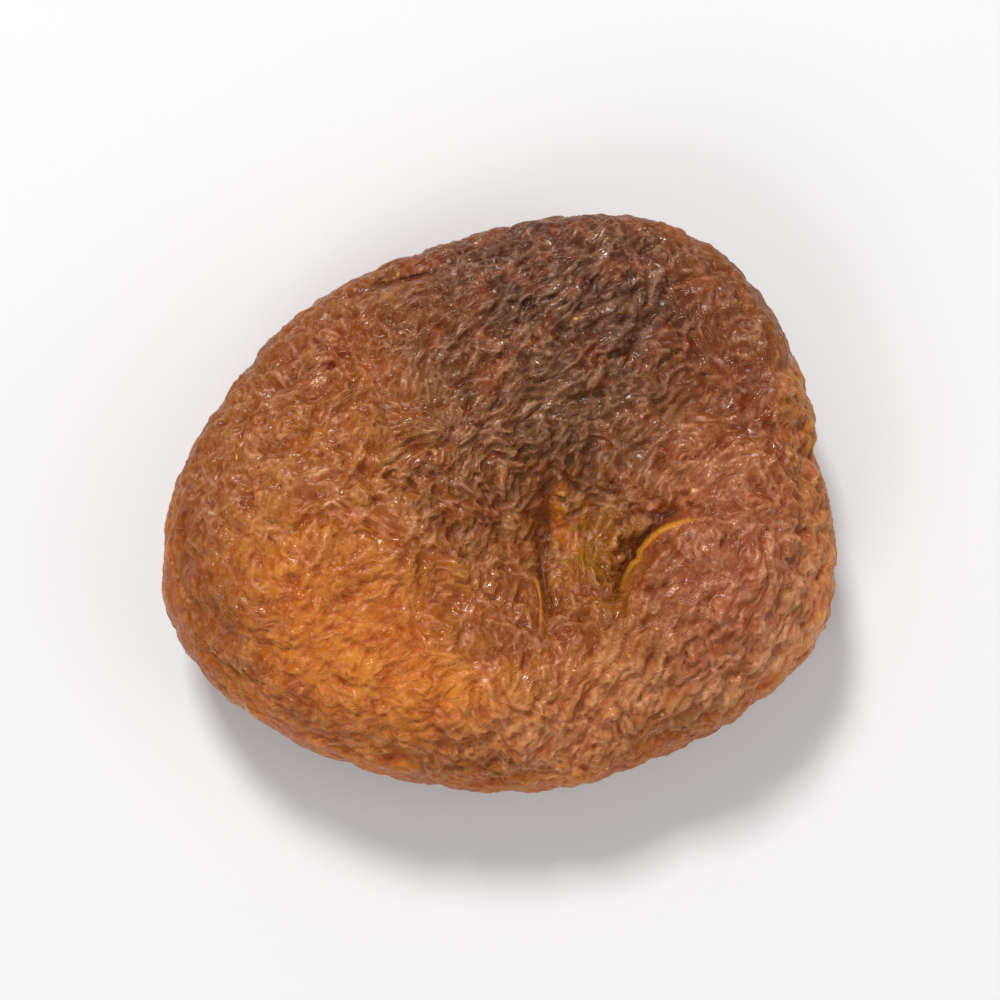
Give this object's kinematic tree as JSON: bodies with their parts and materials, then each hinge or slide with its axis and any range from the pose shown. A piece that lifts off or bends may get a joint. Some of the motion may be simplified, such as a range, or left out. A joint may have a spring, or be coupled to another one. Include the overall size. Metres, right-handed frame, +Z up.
{
  "type": "dried apricot",
  "caption": "Whole dried apricot, pitted and pressed into a thick soft-edged disc with a sunken, folded middle, lying on a small flat spot of its underside.",
  "frame": {"origin": "on the small flat spot of the underside that the fruit rests on, under the middle of its outline", "axes": "+Z up, from the underside to the sunken side; +X along the longest line across the fruit, to the notch at its stem end; +Y across it, away from the viewer of the picture"},
  "size_m": [0.0388, 0.0334, 0.0129],
  "materials": {
    "apricot_skin": "satin"
  },
  "bodies": {
    "root": {"dried_apricot": "apricot_skin"}
  },
  "joints": []
}
